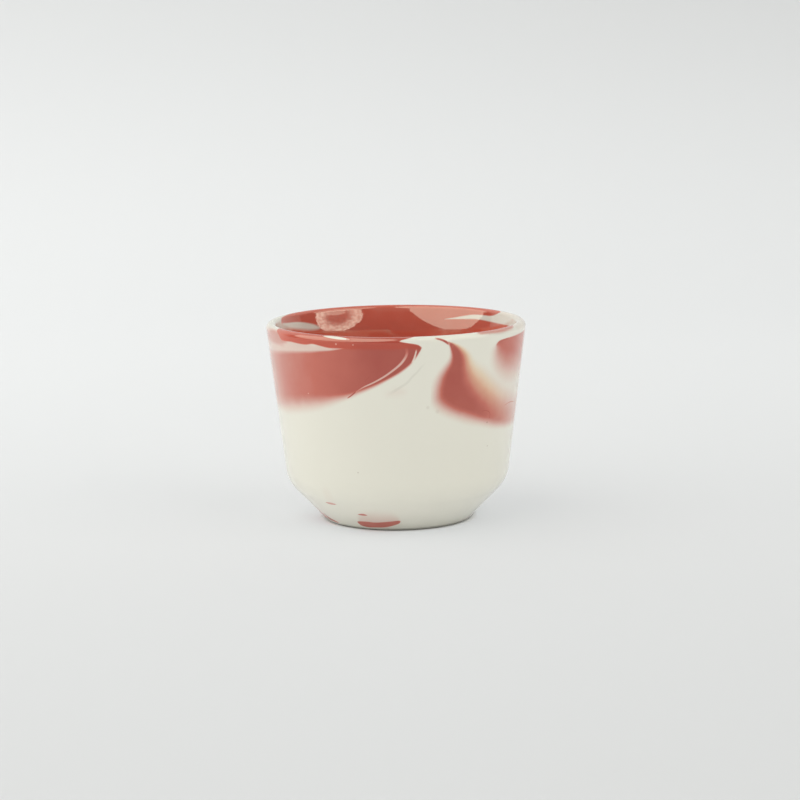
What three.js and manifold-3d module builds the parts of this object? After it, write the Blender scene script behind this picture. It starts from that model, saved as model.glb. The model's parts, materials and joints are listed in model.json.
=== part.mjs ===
// Espresso cup without a handle, slip cast in cream porcelain with masses of red slip let into it.
// Millimetres, +Z up. The origin is the middle of the plane that the foot rests on, and -Y is the front.
// Angles go round the cup from the front, positive towards +X.
import * as THREE from "three";
import { mergeVertices } from "three/addons/utils/BufferGeometryUtils.js";
import Module from "manifold-3d";

// Outside of the cup. The lines of foot cone and wall meet at the shoulder, where an arc joins them.
const rimDiameter = 70;
const cupHeight = 53.6;
const shoulderDiameter = 60;
const shoulderHeight = 10.7;
const shoulderRound = 9.3;
const footDiameter = 39.8;
const footEdgeRound = 0.6;

// Wall, lip and floor. The lip is rounded on both sides of a narrow flat crest, and tapers inside.
const wallThickness = 3.5;
const lipRound = 1.4;
const lipInsideRound = 1.3;
const lipTaperWidth = 0.9;
const lipTaperDrop = 4.1;
const lipTaperRound = 26;
const floorThickness = 4;
const floorRound = 6;

// Foot ring round the recess under the cup
const footRingWidth = 4;
const footRecessDepth = 1.5;
const footRecessRound = 0.8;

// Depth of the slip in the cream body, way from the crest to the lining, and clearance between two clays
const slipDepth = 0.8;
const lipSlipDepth = 0.5;
const liningDepth = 0.8;
const liningSetDown = 3;
const clayGap = 0.3;

// Fineness: how far a facet may lie off its arc, and the steps along and across a band of slip
const facetError = 0.06;
const spanSteps = 3;
const acrossStep = 6;
const lipAcrossSteps = 10;

// Reach of a cutter out of the surface that it cuts, the cosine of half the sharpest corner that is kept
// when an outline grows, and the distance at which two points count as one
const cutterReach = 1;
const sharpestCorner = 0.5;
const mergeDistance = 1e-4;

// Looks of the clays under their clear glaze
const cream = { color: 0xe4e1d3, roughness: 0.2, metalness: 0 };
const red = { color: 0xb4645a, roughness: 0.2, metalness: 0 };
const deepRed = { color: 0xa34c40, roughness: 0.2, metalness: 0 };

// Sizes that follow from these, and the corners of the outside from the foot to the lip
const rimRadius = rimDiameter / 2;
const shoulderRadius = shoulderDiameter / 2;
const footRadius = footDiameter / 2;
const floorHeight = footRecessDepth + floorThickness;
const wallLean = (rimRadius - shoulderRadius) / (cupHeight - lipRound - shoulderHeight);
const footCorner = new THREE.Vector2(footRadius, 0);
const shoulderCorner = new THREE.Vector2(shoulderRadius, shoulderHeight);
const lipCorner = new THREE.Vector2(rimRadius + wallLean * lipRound, cupHeight);

// The line of the inner wall, and the two ends of the taper that thins the lip above it
const innerWall = movedIn(shoulderCorner, lipCorner, wallThickness);
const taperFoot = pointAtHeight(innerWall, cupHeight - lipTaperDrop);
const taperTop = pointAtHeight(innerWall, cupHeight).add(new THREE.Vector2(lipTaperWidth, 0));

// The line through two points, moved sideways towards the axis of the cup
function movedIn(from, to, distance) {
  const along = to.clone().sub(from).normalize();
  const inward = new THREE.Vector2(-along.y, along.x).multiplyScalar(distance);
  return { start: from.clone().add(inward), along };
}

function pointAtHeight(line, height) {
  const step = (height - line.start.y) / line.along.y;
  return line.start.clone().addScaledVector(line.along, step);
}

function crossing(lineA, lineB) {
  const between = lineB.start.clone().sub(lineA.start);
  const step = between.cross(lineB.along) / lineA.along.cross(lineB.along);
  return lineA.start.clone().addScaledVector(lineA.along, step);
}

function undersideCorners() {
  const ringRadius = footRadius - footRingWidth;
  return [
    { point: new THREE.Vector2(0, footRecessDepth), round: 0 },
    { point: new THREE.Vector2(ringRadius, footRecessDepth), round: footRecessRound },
    { point: new THREE.Vector2(ringRadius, 0), round: 0 },
  ];
}

function outsideCorners() {
  return [
    { point: footCorner, round: footEdgeRound },
    { point: shoulderCorner, round: shoulderRound },
    { point: lipCorner, round: lipRound },
  ];
}

// Corners of the inside, from a height on the taper down to the axis, set back into wall and floor
function insideCorners(topHeight, setBack) {
  const depth = wallThickness - setBack;
  const taper = movedIn(taperFoot, taperTop, -setBack);
  const wall = movedIn(shoulderCorner, lipCorner, depth);
  const cone = movedIn(footCorner, shoulderCorner, depth);
  const floor = floorHeight - setBack;
  return [
    { point: pointAtHeight(taper, topHeight), round: 0 },
    { point: crossing(taper, wall), round: lipTaperRound - setBack },
    { point: crossing(cone, wall), round: shoulderRound - depth },
    { point: pointAtHeight(cone, floor), round: floorRound + setBack },
    { point: new THREE.Vector2(0, floor), round: 0 },
  ];
}

// A path of straight lines, with arcs round its corners
function roundedPath(corners) {
  const path = new THREE.CurvePath();
  let from = corners[0].point;
  for (let i = 1; i < corners.length; i += 1) {
    const { start, end, arc } = roundedCorner(corners[i - 1], corners[i], corners[i + 1]);
    path.add(new THREE.LineCurve(from, start));
    if (arc) {
      path.add(arc);
    }
    from = end;
  }
  return path;
}

function roundedCorner(before, { point, round }, after) {
  if (round === 0) {
    return { start: point, end: point, arc: null };
  }
  const back = before.point.clone().sub(point).normalize();
  const on = after.point.clone().sub(point).normalize();
  const halfAngle = Math.acos(back.dot(on)) / 2;
  const reach = round / Math.tan(halfAngle);
  const start = point.clone().addScaledVector(back, reach);
  const end = point.clone().addScaledVector(on, reach);
  const middle = back.clone().add(on).normalize();
  const centre = point.clone().addScaledVector(middle, round / Math.sin(halfAngle));
  const startAngle = start.clone().sub(centre).angle();
  const endAngle = end.clone().sub(centre).angle();
  const clockwise = back.cross(on) > 0;
  const { x, y } = centre;
  const arc = new THREE.EllipseCurve(x, y, round, round, startAngle, endAngle, clockwise);
  return { start, end, arc };
}

// Facets that an arc needs
function arcSteps(radius, turn) {
  return Math.ceil(turn / (2 * Math.acos(1 - facetError / radius)));
}

// The path as a list of points, with each arc cut into equal steps
function pathPoints(path) {
  const points = [path.curves[0].getPoint(0)];
  for (const curve of path.curves) {
    const round = curve.isEllipseCurve ? curve.xRadius : 0;
    const steps = round === 0 ? 1 : arcSteps(round, curve.getLength() / round);
    points.push(...curve.getPoints(steps).slice(1));
  }
  return points;
}

// The glazed surface that carries the slip, from the foot ring over the lip to the middle of the floor
const lipInside = { point: taperTop, round: lipInsideRound };
const skinCorners = [...outsideCorners(), lipInside, ...insideCorners(cupHeight, 0).slice(1)];
const skinPath = roundedPath([undersideCorners()[2], ...skinCorners]);
const skinLength = skinPath.getLength();
const [, coneStart, , , , crestStart, crestEnd] = skinPath.getCurveLengths();
const crestMiddle = (crestStart + crestEnd) / 2;

// Places on the skin, as a share of its length: a way down from the crest of the lip or up from the foot
function downFromCrest(way) {
  return (crestMiddle - way) / skinLength;
}

function upFromFoot(way) {
  return (coneStart + way) / skinLength;
}

// The lining starts below the lip, and the slip that lies over the lip ends one gap above it.
const liningEdge = crestMiddle - crestEnd - liningSetDown;
const lipSlipEnd = liningEdge + clayGap;
const liningTop = skinPath.getPoint(downFromCrest(liningEdge)).y;
const ledgeTop = skinPath.getPoint(downFromCrest(lipSlipEnd)).y;

// Slip marks. Each band lies between two borders, which are smooth curves through pairs of facing points.
// A point is [angle, way], with the angle in degrees and the way in millimetres over the glazed surface:
// down from the crest and negative inside the cup, or up from the foot for the marks on the foot cone.
const leftSwirlBand = [
  [[9.9, 3.3], [10.4, 4]],
  [[6, 2.6], [6.5, 7.1]],
  [[-4, 2.6], [-2, 10.9]],
  [[-24, 4], [-20, 16.5]],
  [[-42, 5.1], [-40, 19.3]],
  [[-60, 5.6], [-60, 21.4]],
  [[-80, 6.4], [-80, 22.3]],
  [[-110, 8.4], [-110, 22]],
  [[-138, 11.8], [-138, 19.4]],
  [[-160, 15.2], [-160, 16.2]],
];
const leftRimBand = [
  [[8.6, 2.7], [9, 3.7]],
  [[4, 1.9], [4, 4.6]],
  [[-3, 0], [-3, 4.8]],
  [[-9, 0.55 * lipSlipEnd], [-9, 4.8]],
  [[-15, 0.85 * lipSlipEnd], [-15, 4.8]],
  [[-24, lipSlipEnd], [-24, 4.7]],
  [[-42, lipSlipEnd], [-42, 3.8]],
  [[-60, lipSlipEnd], [-60, 3.7]],
];
const hookBand = [
  [[21.4, 3.2], [25.6, 3.1]],
  [[24, 6], [31, 7]],
  [[20.8, 11.4], [33, 11.4]],
  [[18.8, 17], [38, 14.6]],
  [[22.4, 20.8], [45, 17.3]],
  [[34, 23.8], [55, 19.9]],
  [[52, 26.4], [68, 21.7]],
  [[75, 27.7], [84, 22.4]],
  [[104, 26.8], [106, 22.8]],
  [[124, 24.2], [124, 23.2]],
];
const rightPatchBand = [
  [[48.4, 4], [48.6, 4.8]],
  [[55, 3.5], [53.5, 9.6]],
  [[66, 3.1], [64, 14]],
  [[85, 2.8], [84, 16]],
  [[110, 4.4], [110, 15.2]],
  [[130, 8], [130, 12.6]],
  [[146, 10.4], [146, 11.2]],
];
const backRimBand = [
  [[120, lipSlipEnd], [120, 0.6 * lipSlipEnd]],
  [[130, lipSlipEnd], [130, 0]],
  [[142, lipSlipEnd], [142, 1.6]],
  [[180, lipSlipEnd], [180, 2.2]],
  [[218, lipSlipEnd], [218, 1.6]],
  [[230, lipSlipEnd], [230, 0]],
  [[240, lipSlipEnd], [240, 0.6 * lipSlipEnd]],
];
const footPoolBand = [
  [[-29.4, 2.8], [-29.2, 3.4]],
  [[-24, 1.7], [-24, 3.7]],
  [[-13, 1.3], [-13, 4.1]],
  [[-4, 1.9], [-4, 4.6]],
  [[1, 3.9], [1, 4.5]],
];
const footStreakBand = [
  [[-50, 0.9], [-50, 1.4]],
  [[-60, 0.7], [-60, 3]],
  [[-75, 0.7], [-75, 4]],
  [[-90, 0.8], [-90, 3.2]],
  [[-104, 1.3], [-104, 1.8]],
];
const upperDashBand = [
  [[-45, 10.3], [-45, 10.7]],
  [[-40.7, 10.1], [-40.7, 10.9]],
  [[-36.5, 10.4], [-36.5, 10.8]],
];
const lowerDashBand = [
  [[-25.5, 6.8], [-25.5, 7.2]],
  [[-22.5, 6.6], [-22.5, 7.4]],
  [[-19.5, 6.9], [-19.5, 7.3]],
];

// Windows in the lining, where the cream body shows inside the cup. They start above the lining's edge.
const windowTop = lipSlipEnd + clayGap;
const leftWindowBand = [
  [[-64, windowTop], [-64, liningEdge - 0.8]],
  [[-84, windowTop], [-84, liningEdge - 2.2]],
  [[-104, liningEdge - 0.6], [-104, liningEdge - 3]],
  [[-122, liningEdge - 1.6], [-122, liningEdge - 3.4]],
  [[-136, liningEdge - 2.6], [-136, liningEdge - 3.4]],
];
const rightWindowBand = [
  [[78, windowTop], [78, liningEdge - 0.8]],
  [[94, windowTop], [94, liningEdge - 1.5]],
  [[112, liningEdge - 0.2], [112, liningEdge - 1.7]],
  [[132, liningEdge - 0.6], [132, liningEdge - 1.8]],
  [[152, liningEdge - 1.6], [152, liningEdge - 2.2]],
];

// Point in the wall at an angle round the cup, at a depth under a place on the skin
function wallPoint(angle, share, depth) {
  const surface = skinPath.getPoint(share);
  const along = skinPath.getTangent(share);
  const radius = surface.x - along.y * depth;
  const height = surface.y + along.x * depth;
  return new THREE.Vector3(radius * Math.sin(angle), -radius * Math.cos(angle), height);
}

// Both borders of a band in one closed ring, as points of angle in radians and share of the skin
function bandRing(band, shareOf) {
  const degree = THREE.MathUtils.degToRad(rimRadius);
  const steps = spanSteps * (band.length - 1);
  const [near, far] = [0, 1].map((side) => {
    const points = band.map((pair) => new THREE.Vector2(pair[side][0] * degree, pair[side][1]));
    return new THREE.SplineCurve(points).getPoints(steps);
  });
  return [...near, ...far.reverse()].map(({ x, y }) => new THREE.Vector2(x / rimRadius, shareOf(y)));
}

// The ring moved outwards over the surface by a distance, with its corners kept sharp up to a limit
function grownRing(ring, distance) {
  const outward = Math.sign(THREE.ShapeUtils.area(ring)) * distance;
  return ring.map((point, i) => {
    const flat = new THREE.Vector2(skinPath.getPoint(point.y).x, skinLength);
    const arriving = point.clone().sub(ring.at(i - 1)).multiply(flat).normalize();
    const leaving = ring[(i + 1) % ring.length].clone().sub(point).multiply(flat).normalize();
    const along = arriving.clone().add(leaving).normalize();
    const reach = outward / Math.max(along.dot(leaving), sharpestCorner);
    const aside = new THREE.Vector2(along.y, -along.x).multiplyScalar(reach).divide(flat);
    return point.clone().add(aside);
  });
}

// A curved pad over a ring: a grid outside the surface, a grid at a depth under it, and walls between them
function padGeometry(ring, across, depth) {
  const stations = ring.length / 2;
  const positions = [];
  for (const level of [-cutterReach, depth]) {
    for (let i = 0; i < stations; i += 1) {
      for (let j = 0; j <= across; j += 1) {
        const place = ring[i].clone().lerp(ring.at(-1 - i), j / across);
        positions.push(...wallPoint(place.x, place.y, level).toArray());
      }
    }
  }
  const geometry = new THREE.BufferGeometry();
  geometry.setAttribute("position", new THREE.Float32BufferAttribute(positions, 3));
  geometry.setIndex(padFaces(stations, across, THREE.ShapeUtils.area(ring) < 0));
  return geometry;
}

// Steps across a band at its widest, with more of them where it goes over the lip
function acrossSteps(ring) {
  const shares = ring.map((point) => point.y);
  const crest = downFromCrest(0);
  if (Math.min(...shares) < crest && Math.max(...shares) > crest) {
    return lipAcrossSteps;
  }
  const widths = ring.map((point, i) => {
    const facing = ring.at(-1 - i);
    return Math.hypot((point.x - facing.x) * rimRadius, (point.y - facing.y) * skinLength);
  });
  return Math.ceil(Math.max(...widths) / acrossStep);
}

function padFaces(stations, across, turned) {
  const row = across + 1;
  const level = stations * row;
  const faces = [];
  const addQuad = (a, b, c, d) => {
    faces.push(...(turned ? [a, c, b, a, d, c] : [a, b, c, a, c, d]));
  };
  for (let i = 0; i < stations - 1; i += 1) {
    const first = i * row;
    const last = first + across;
    for (let a = first; a < last; a += 1) {
      addQuad(a, a + row, a + row + 1, a + 1);
      addQuad(a + level, a + level + 1, a + level + row + 1, a + level + row);
    }
    addQuad(first, first + level, first + level + row, first + row);
    addQuad(last, last + row, last + level + row, last + level);
  }
  const end = (stations - 1) * row;
  for (let j = 0; j < across; j += 1) {
    addQuad(j, j + 1, j + 1 + level, j + level);
    addQuad(end + j, end + j + level, end + j + 1 + level, end + j + 1);
  }
  return faces;
}

// Solids that can be joined and cut
const wasm = await Module();
wasm.setup();

function solidOf(geometry) {
  geometry.deleteAttribute("normal");
  geometry.deleteAttribute("uv");
  const merged = mergeVertices(geometry, mergeDistance);
  const corners = merged.index.array;
  const triangles = [];
  for (let i = 0; i < corners.length; i += 3) {
    const triangle = corners.slice(i, i + 3);
    if (new Set(triangle).size === 3) {
      triangles.push(...triangle);
    }
  }
  const vertProperties = merged.attributes.position.array;
  const triVerts = new Uint32Array(triangles);
  return new wasm.Manifold(new wasm.Mesh({ numProp: 3, vertProperties, triVerts }));
}

function revolved(corners) {
  const turnSteps = 4 * arcSteps(rimRadius, Math.PI / 2);
  const geometry = new THREE.LatheGeometry(pathPoints(roundedPath(corners)), turnSteps);
  geometry.rotateX(Math.PI / 2);
  return solidOf(geometry);
}

function pad(band, shareOf, grow, depth) {
  const ring = bandRing(band, shareOf);
  return solidOf(padGeometry(grownRing(ring, grow), acrossSteps(ring), depth));
}

function meshOf(name, solid, look) {
  const { numProp, numVert, vertProperties, triVerts } = solid.getMesh();
  const positions = new Float32Array(numVert * 3);
  for (let i = 0; i < numVert; i += 1) {
    positions.set(vertProperties.subarray(i * numProp, i * numProp + 3), i * 3);
  }
  const geometry = new THREE.BufferGeometry();
  geometry.setAttribute("position", new THREE.BufferAttribute(positions, 3));
  geometry.setIndex(new THREE.BufferAttribute(triVerts, 1));
  geometry.computeVertexNormals();
  const mesh = new THREE.Mesh(geometry, new THREE.MeshStandardMaterial(look));
  mesh.name = name;
  return mesh;
}

// The whole cup as one casting, from which the slip masses take their glazed faces
function wholeCup() {
  return revolved([...undersideCorners(), ...skinCorners]);
}

// Everything within the cup's reach below a height
function belowHeight(height) {
  const reach = rimRadius + cutterReach;
  const corners = [[0, 0], [reach, 0], [reach, height], [0, height]];
  return revolved(corners.map(([x, y]) => ({ point: new THREE.Vector2(x, y), round: 0 })));
}

// The space of the lining, from a height down to the floor, open towards the inside of the cup
function liningSpace(topHeight, depth) {
  const back = insideCorners(cupHeight, depth).reverse();
  const front = insideCorners(cupHeight, -cutterReach);
  return revolved([...back, ...front]).intersect(belowHeight(topHeight));
}

// The slip masses, with the bands of the wall, the lip and the foot cone that run together in each
const slipMasses = [
  { name: "left_swirl", wall: [leftSwirlBand], lip: [leftRimBand], look: red },
  { name: "hook_swirl", wall: [hookBand], look: red },
  { name: "right_patch", wall: [rightPatchBand], look: red },
  { name: "back_rim", lip: [backRimBand], look: deepRed },
  { name: "foot_pool", foot: [footPoolBand], look: red },
  { name: "foot_streak", foot: [footStreakBand], look: red },
  { name: "upper_dash", foot: [upperDashBand], look: red },
  { name: "lower_dash", foot: [lowerDashBand], look: red },
];
const windowBands = [leftWindowBand, rightWindowBand];

function joinedPads({ wall = [], lip = [], foot = [] }, gap) {
  const pads = [
    ...wall.map((band) => pad(band, downFromCrest, gap, slipDepth + gap)),
    ...lip.map((band) => pad(band, downFromCrest, gap, lipSlipDepth + gap)),
    ...foot.map((band) => pad(band, upFromFoot, gap, slipDepth + gap)),
  ];
  return pads.reduce((joined, next) => joined.add(next));
}

function slipMeshes(cup) {
  return slipMasses.map((mass) => {
    const slip = cup.intersect(joinedPads(mass, 0));
    return meshOf(mass.name, slip, mass.look);
  });
}

// The cream fills each window of the lining with a plug, which roots one gap deep in the seat behind it.
function bodyMesh(cup) {
  const seatDepth = liningDepth + clayGap;
  let body = cup.subtract(liningSpace(ledgeTop, seatDepth));
  for (const band of windowBands) {
    const plug = pad(band, downFromCrest, 0, seatDepth + clayGap);
    body = body.add(cup.intersect(plug));
  }
  for (const mass of slipMasses) {
    body = body.subtract(joinedPads(mass, clayGap));
  }
  return meshOf("cup_body", body, cream);
}

function liningMesh(cup) {
  let lining = cup.intersect(liningSpace(liningTop, liningDepth));
  for (const band of windowBands) {
    lining = lining.subtract(pad(band, downFromCrest, clayGap, liningDepth + clayGap));
  }
  return meshOf("inner_lining", lining, deepRed);
}

const cup = wholeCup();
const espressoCup = new THREE.Group();
espressoCup.add(bodyMesh(cup), liningMesh(cup), ...slipMeshes(cup));

export default espressoCup;
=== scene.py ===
"""Espresso cup of cream porcelain, marbled with red slip under one clear glaze, on a pale studio sweep.

The cup is a turned skin that follows a path of (radius, height). Its marbling lies on the unrolled skin, in
(angle, height): the angle is in degrees from the front, positive to the right, and the height runs up the
outside and, past the crest of the lip, on down the inside. Lengths are in millimetres until a mesh is made.
"""
import json
import math

import bpy
import numpy as np
from mathutils import Matrix, Vector
from mathutils.geometry import delaunay_2d_cdt


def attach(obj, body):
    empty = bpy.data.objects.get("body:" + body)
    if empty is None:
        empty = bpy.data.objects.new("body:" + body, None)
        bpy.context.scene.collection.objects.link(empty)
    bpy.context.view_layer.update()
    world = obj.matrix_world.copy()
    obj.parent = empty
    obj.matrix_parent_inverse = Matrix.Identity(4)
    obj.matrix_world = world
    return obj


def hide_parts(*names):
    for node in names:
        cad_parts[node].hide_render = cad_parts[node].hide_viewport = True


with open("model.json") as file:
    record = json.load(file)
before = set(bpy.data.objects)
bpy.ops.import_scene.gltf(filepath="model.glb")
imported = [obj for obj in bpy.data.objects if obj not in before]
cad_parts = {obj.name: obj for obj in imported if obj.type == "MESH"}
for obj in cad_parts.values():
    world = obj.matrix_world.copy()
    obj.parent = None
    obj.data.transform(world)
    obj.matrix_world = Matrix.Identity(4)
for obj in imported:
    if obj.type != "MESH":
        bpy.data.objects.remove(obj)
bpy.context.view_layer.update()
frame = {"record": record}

MM = 0.001

# Sizes of the cup, as in the part
cup_height = 53.6
rim_radius = 35.0
wall_thickness = 3.5
shoulder_radius = 30.0
shoulder_height = 10.7
shoulder_round = 9.3
foot_radius = 19.9
foot_round = 0.6
ring_width = 4.0
recess_depth = 1.5
recess_round = 0.8
floor_thickness = 4.0
floor_round = 6.0
lip_round = 1.4
lip_inside_round = 1.3
lip_taper_width = 0.9
lip_taper_drop = 4.1
lip_taper_round = 26.0
slip_depth = 0.8

# Lean of the wall from the shoulder to the lip, to four places
wall_lean = round((rim_radius - shoulder_radius) / (cup_height - lip_round - shoulder_height), 4)

# Round of the foot ring's inner edge, which is sharp in the part
ring_round = 0.4

# Fineness of the meshes along the section and around the cup
fine_step = 1.0
plain_step = 2.5
arc_turn = math.radians(9)
fine_columns = 288
plain_columns = 144
fewest_columns = 18
narrowest_column = 0.5

# Outlines in the mesh: steps along them, the strip beside them that the grid leaves out, and the margin
# of the box in which that strip is looked for
outline_step = 0.8
fewest_steps = 4
outline_clearance = 0.45
box_margin = 1.0

# Points set in from an outline on both sides, unless another stretch of it is closer than a share of that
inset = 0.3
inset_share = 0.6

# The unrolled skin is cut open at the seam, and its angles become lengths at this radius
seam_angle = 14.0
unrolled_radius = 33.0

# How far the lining's ring reaches past the seam and past the end of the path, with its last corners
lining_reach = 10.0
lining_corners = 4

# Differences too small to count: in general, in angle and height at the seam, and between points of the mesh
tiny = 1e-6
seam_slack = 1e-4
weld_slack = 1e-3
join_distance = 1e-5

# The most that a border counts, in units of its own softness
level_limit = 3.0


def unit(vector):
    return vector / np.linalg.norm(vector)


# Section of the cup

def path_corners():
    """Corners of the section from the axis underneath to the axis inside: radius, height, round, step."""
    rise = cup_height - shoulder_height
    cone = unit(np.array([shoulder_radius - foot_radius, shoulder_height]))
    cone_inside = np.array([foot_radius, 0.0]) + wall_thickness * np.array([-cone[1], cone[0]])
    wall_inside = shoulder_radius - wall_thickness * math.hypot(1, wall_lean)
    ring_inside = foot_radius - ring_width
    floor_height = recess_depth + floor_thickness
    floor_way = (floor_height - cone_inside[1]) / cone[1]
    # Way up the inner cone to the point where the inner wall starts
    bend_way = wall_inside - cone_inside[0] + wall_lean * (cone_inside[1] - shoulder_height)
    bend_way /= cone[0] - wall_lean * cone[1]
    bend = cone_inside + bend_way * cone
    taper_height = cup_height - lip_taper_drop
    taper_radius = wall_inside + wall_lean * (taper_height - shoulder_height)
    lip_inside = wall_inside + wall_lean * rise + lip_taper_width
    return [
        (0, recess_depth, 0, plain_step),
        (ring_inside, recess_depth, recess_round, plain_step),
        (ring_inside, 0, ring_round, plain_step),
        (foot_radius, 0, foot_round, fine_step),
        (shoulder_radius, shoulder_height, shoulder_round, fine_step),
        (shoulder_radius + wall_lean * rise, cup_height, lip_round, fine_step),
        (lip_inside, cup_height, lip_inside_round, fine_step),
        (taper_radius, taper_height, lip_taper_round, fine_step),
        (bend[0], bend[1], shoulder_round - wall_thickness, plain_step),
        (cone_inside[0] + floor_way * cone[0], floor_height, floor_round, plain_step),
        (0, floor_height, 0, plain_step),
    ]


def rounded_path(corners):
    """Rows of (radius, height, normal radius, normal height, fine) along a path with arcs at its corners."""
    rows = []

    def add_line(start, end, normal, step):
        count = max(1, math.ceil(np.linalg.norm(end - start) / step))
        first = 0 if not rows else 1
        for share in np.arange(first, count + 1) / count:
            rows.append((*(start + share * (end - start)), *normal, step == fine_step))

    start = np.array(corners[0][:2], float)
    for here, after in zip(corners[1:], corners[2:]):
        corner = np.array(here[:2], float)
        round_size, step = here[2:]
        way_in = unit(corner - start)
        way_out = unit(np.array(after[:2]) - corner)
        turn = math.atan2(way_in[0] * way_out[1] - way_in[1] * way_out[0], way_in @ way_out)
        side = math.copysign(1, turn)
        reach = round_size * math.tan(abs(turn) / 2)
        normal = np.array([way_in[1], -way_in[0]])
        arc_start = corner - reach * way_in
        add_line(start, arc_start, normal, step)
        centre = arc_start - side * round_size * normal
        count = math.ceil(max(abs(turn) / arc_turn, round_size * abs(turn) / step))
        for angle in turn * np.arange(1, count + 1) / count:
            spun = np.array([
                normal[0] * math.cos(angle) - normal[1] * math.sin(angle),
                normal[0] * math.sin(angle) + normal[1] * math.cos(angle),
            ])
            rows.append((*(centre + side * round_size * spun), *spun, step == fine_step))
        start = corner + reach * way_out
    end = np.array(corners[-1][:2], float)
    add_line(start, end, np.array([0.0, 1.0]), corners[-1][3])
    return np.array(rows)


path = rounded_path(path_corners())
path_run = np.concatenate([[0], np.cumsum(np.hypot(np.diff(path[:, 0]), np.diff(path[:, 1])))])
crest_run = path_run[path[:, 1] > cup_height - tiny].mean()
unrolled_height = np.where(path_run < crest_run, path[:, 1], 2 * cup_height - path[:, 1])


def run_of(height):
    """Way along the path to an unrolled height between the foot's edge and the floor inside."""
    sides = path[:, 0] > foot_radius - foot_round
    rising = np.maximum.accumulate(unrolled_height[sides])
    return np.interp(height, rising, path_run[sides])


def skin(angle, run, depth=0.0):
    """Points and normals of the cup's skin, or of the surface that lies the given depth below it."""
    radius, height, across, up = (np.interp(run, path_run, path[:, column]) for column in range(4))
    length = np.hypot(across, up)
    across = across / length
    up = up / length
    radius = radius - depth * across
    turn = np.radians(angle)
    points = np.stack([radius * np.sin(turn), -radius * np.cos(turn), height - depth * up], axis=-1)
    normals = np.stack([across * np.sin(turn), -across * np.cos(turn), up], axis=-1)
    return points, normals


# Marbling

def inside(height):
    """Unrolled height of a point inside the cup."""
    return 2 * cup_height - height


def inner(outline):
    """An outline whose heights are all given inside the cup."""
    return [(angle, inside(height), softness) for angle, height, softness in outline]


# Faint stains of red in the cream: outlines of (angle, unrolled height, softness of the border)
tints = {
    "left_lip_blush": {"density": 0.56, "outline": [
        (-54, 51, 0.6), (-60, 49.6, 1), (-68, 49.2, 1.4), (-80, 49.4, 2.4), (-86, 51, 2.6), (-78, 52.6, 1.6),
        (-66, 53.2, 0.5), (-60, 52.8, 0.5),
    ]},
    "streak_blush": {"density": 0.27, "outline": [
        (-22, 50.6, 0.5), (-32, 51, 0.6), (-45, 51.2, 0.7), (-60, 51, 0.8), (-80, 50.6, 1.4), (-96, 49, 2),
        (-80, 47, 1.2), (-60, 47.8, 0.8), (-45, 48.6, 0.6), (-32, 49.4, 0.5),
    ]},
    "right_lip_blush": {"density": 0.08, "outline": [
        (66, 52.9, 0.5), (74, 52, 0.6), (82, 51.6, 0.8), (100, 52, 0.8), (122, 53, 0.5),
        (120, inside(53.3), 0.4), (100, inside(53.2), 0.4), (80, inside(53.2), 0.4),
        (68, inside(53.3), 0.4),
    ]},
    "crest_blush": {"density": 0.62, "outline": [
        (38, 53.4, 0.3), (45, 53.05, 0.4), (52, 52.85, 0.4), (58, 53, 0.4), (64, 53.35, 0.3),
        (68, inside(53.4), 0.3), (60, inside(52.9), 0.3), (48, inside(52.9), 0.3), (40, inside(53.3), 0.3),
    ]},
    "window_blush": {"density": 0.08, "outline": inner([
        (-104, 50.8, 0.6), (-116, 51, 0.8), (-128, 50.6, 0.6), (-137, 49, 0.5), (-132, 48.2, 0.5),
        (-118, 49.3, 0.6), (-104, 50, 0.6),
    ])},
    "foot_blush": {"density": 0.22, "outline": [
        (-27.5, 2.2, 0.6), (-26.5, 3.6, 1), (-22, 4.9, 2.6), (-12, 5.1, 3.2), (-4, 5, 2.6), (0.5, 3.8, 1),
        (1, 2.4, 0.6), (-12, 1.5, 0.6),
    ]},
    "foot_side_blush": {"density": 0.16, "outline": [
        (-58, 2.4, 0.5), (-64, 4, 0.8), (-78, 6, 1.2), (-96, 6.4, 1.4), (-96, 2, 1), (-70, 1.8, 0.6),
    ]},
    "dash_blush": {"density": 0.035, "outline": [
        (-42, 8, 0.8), (-41, 12, 1.2), (-38, 12.5, 1.2), (-36.5, 8, 0.8),
    ]},
    "wall_smear": {"density": 0.07, "outline": [
        (-5, 38.5, 1), (-1, 40, 1), (3, 40.2, 1), (4, 39.2, 1), (0, 38.4, 1),
    ]},
    "hook_blush": {"density": 0.1, "outline": [
        (52, 36, 3), (60, 38, 3), (75, 38, 3), (95, 36, 3), (95, 33, 3), (70, 33, 3),
    ]},
}

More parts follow.
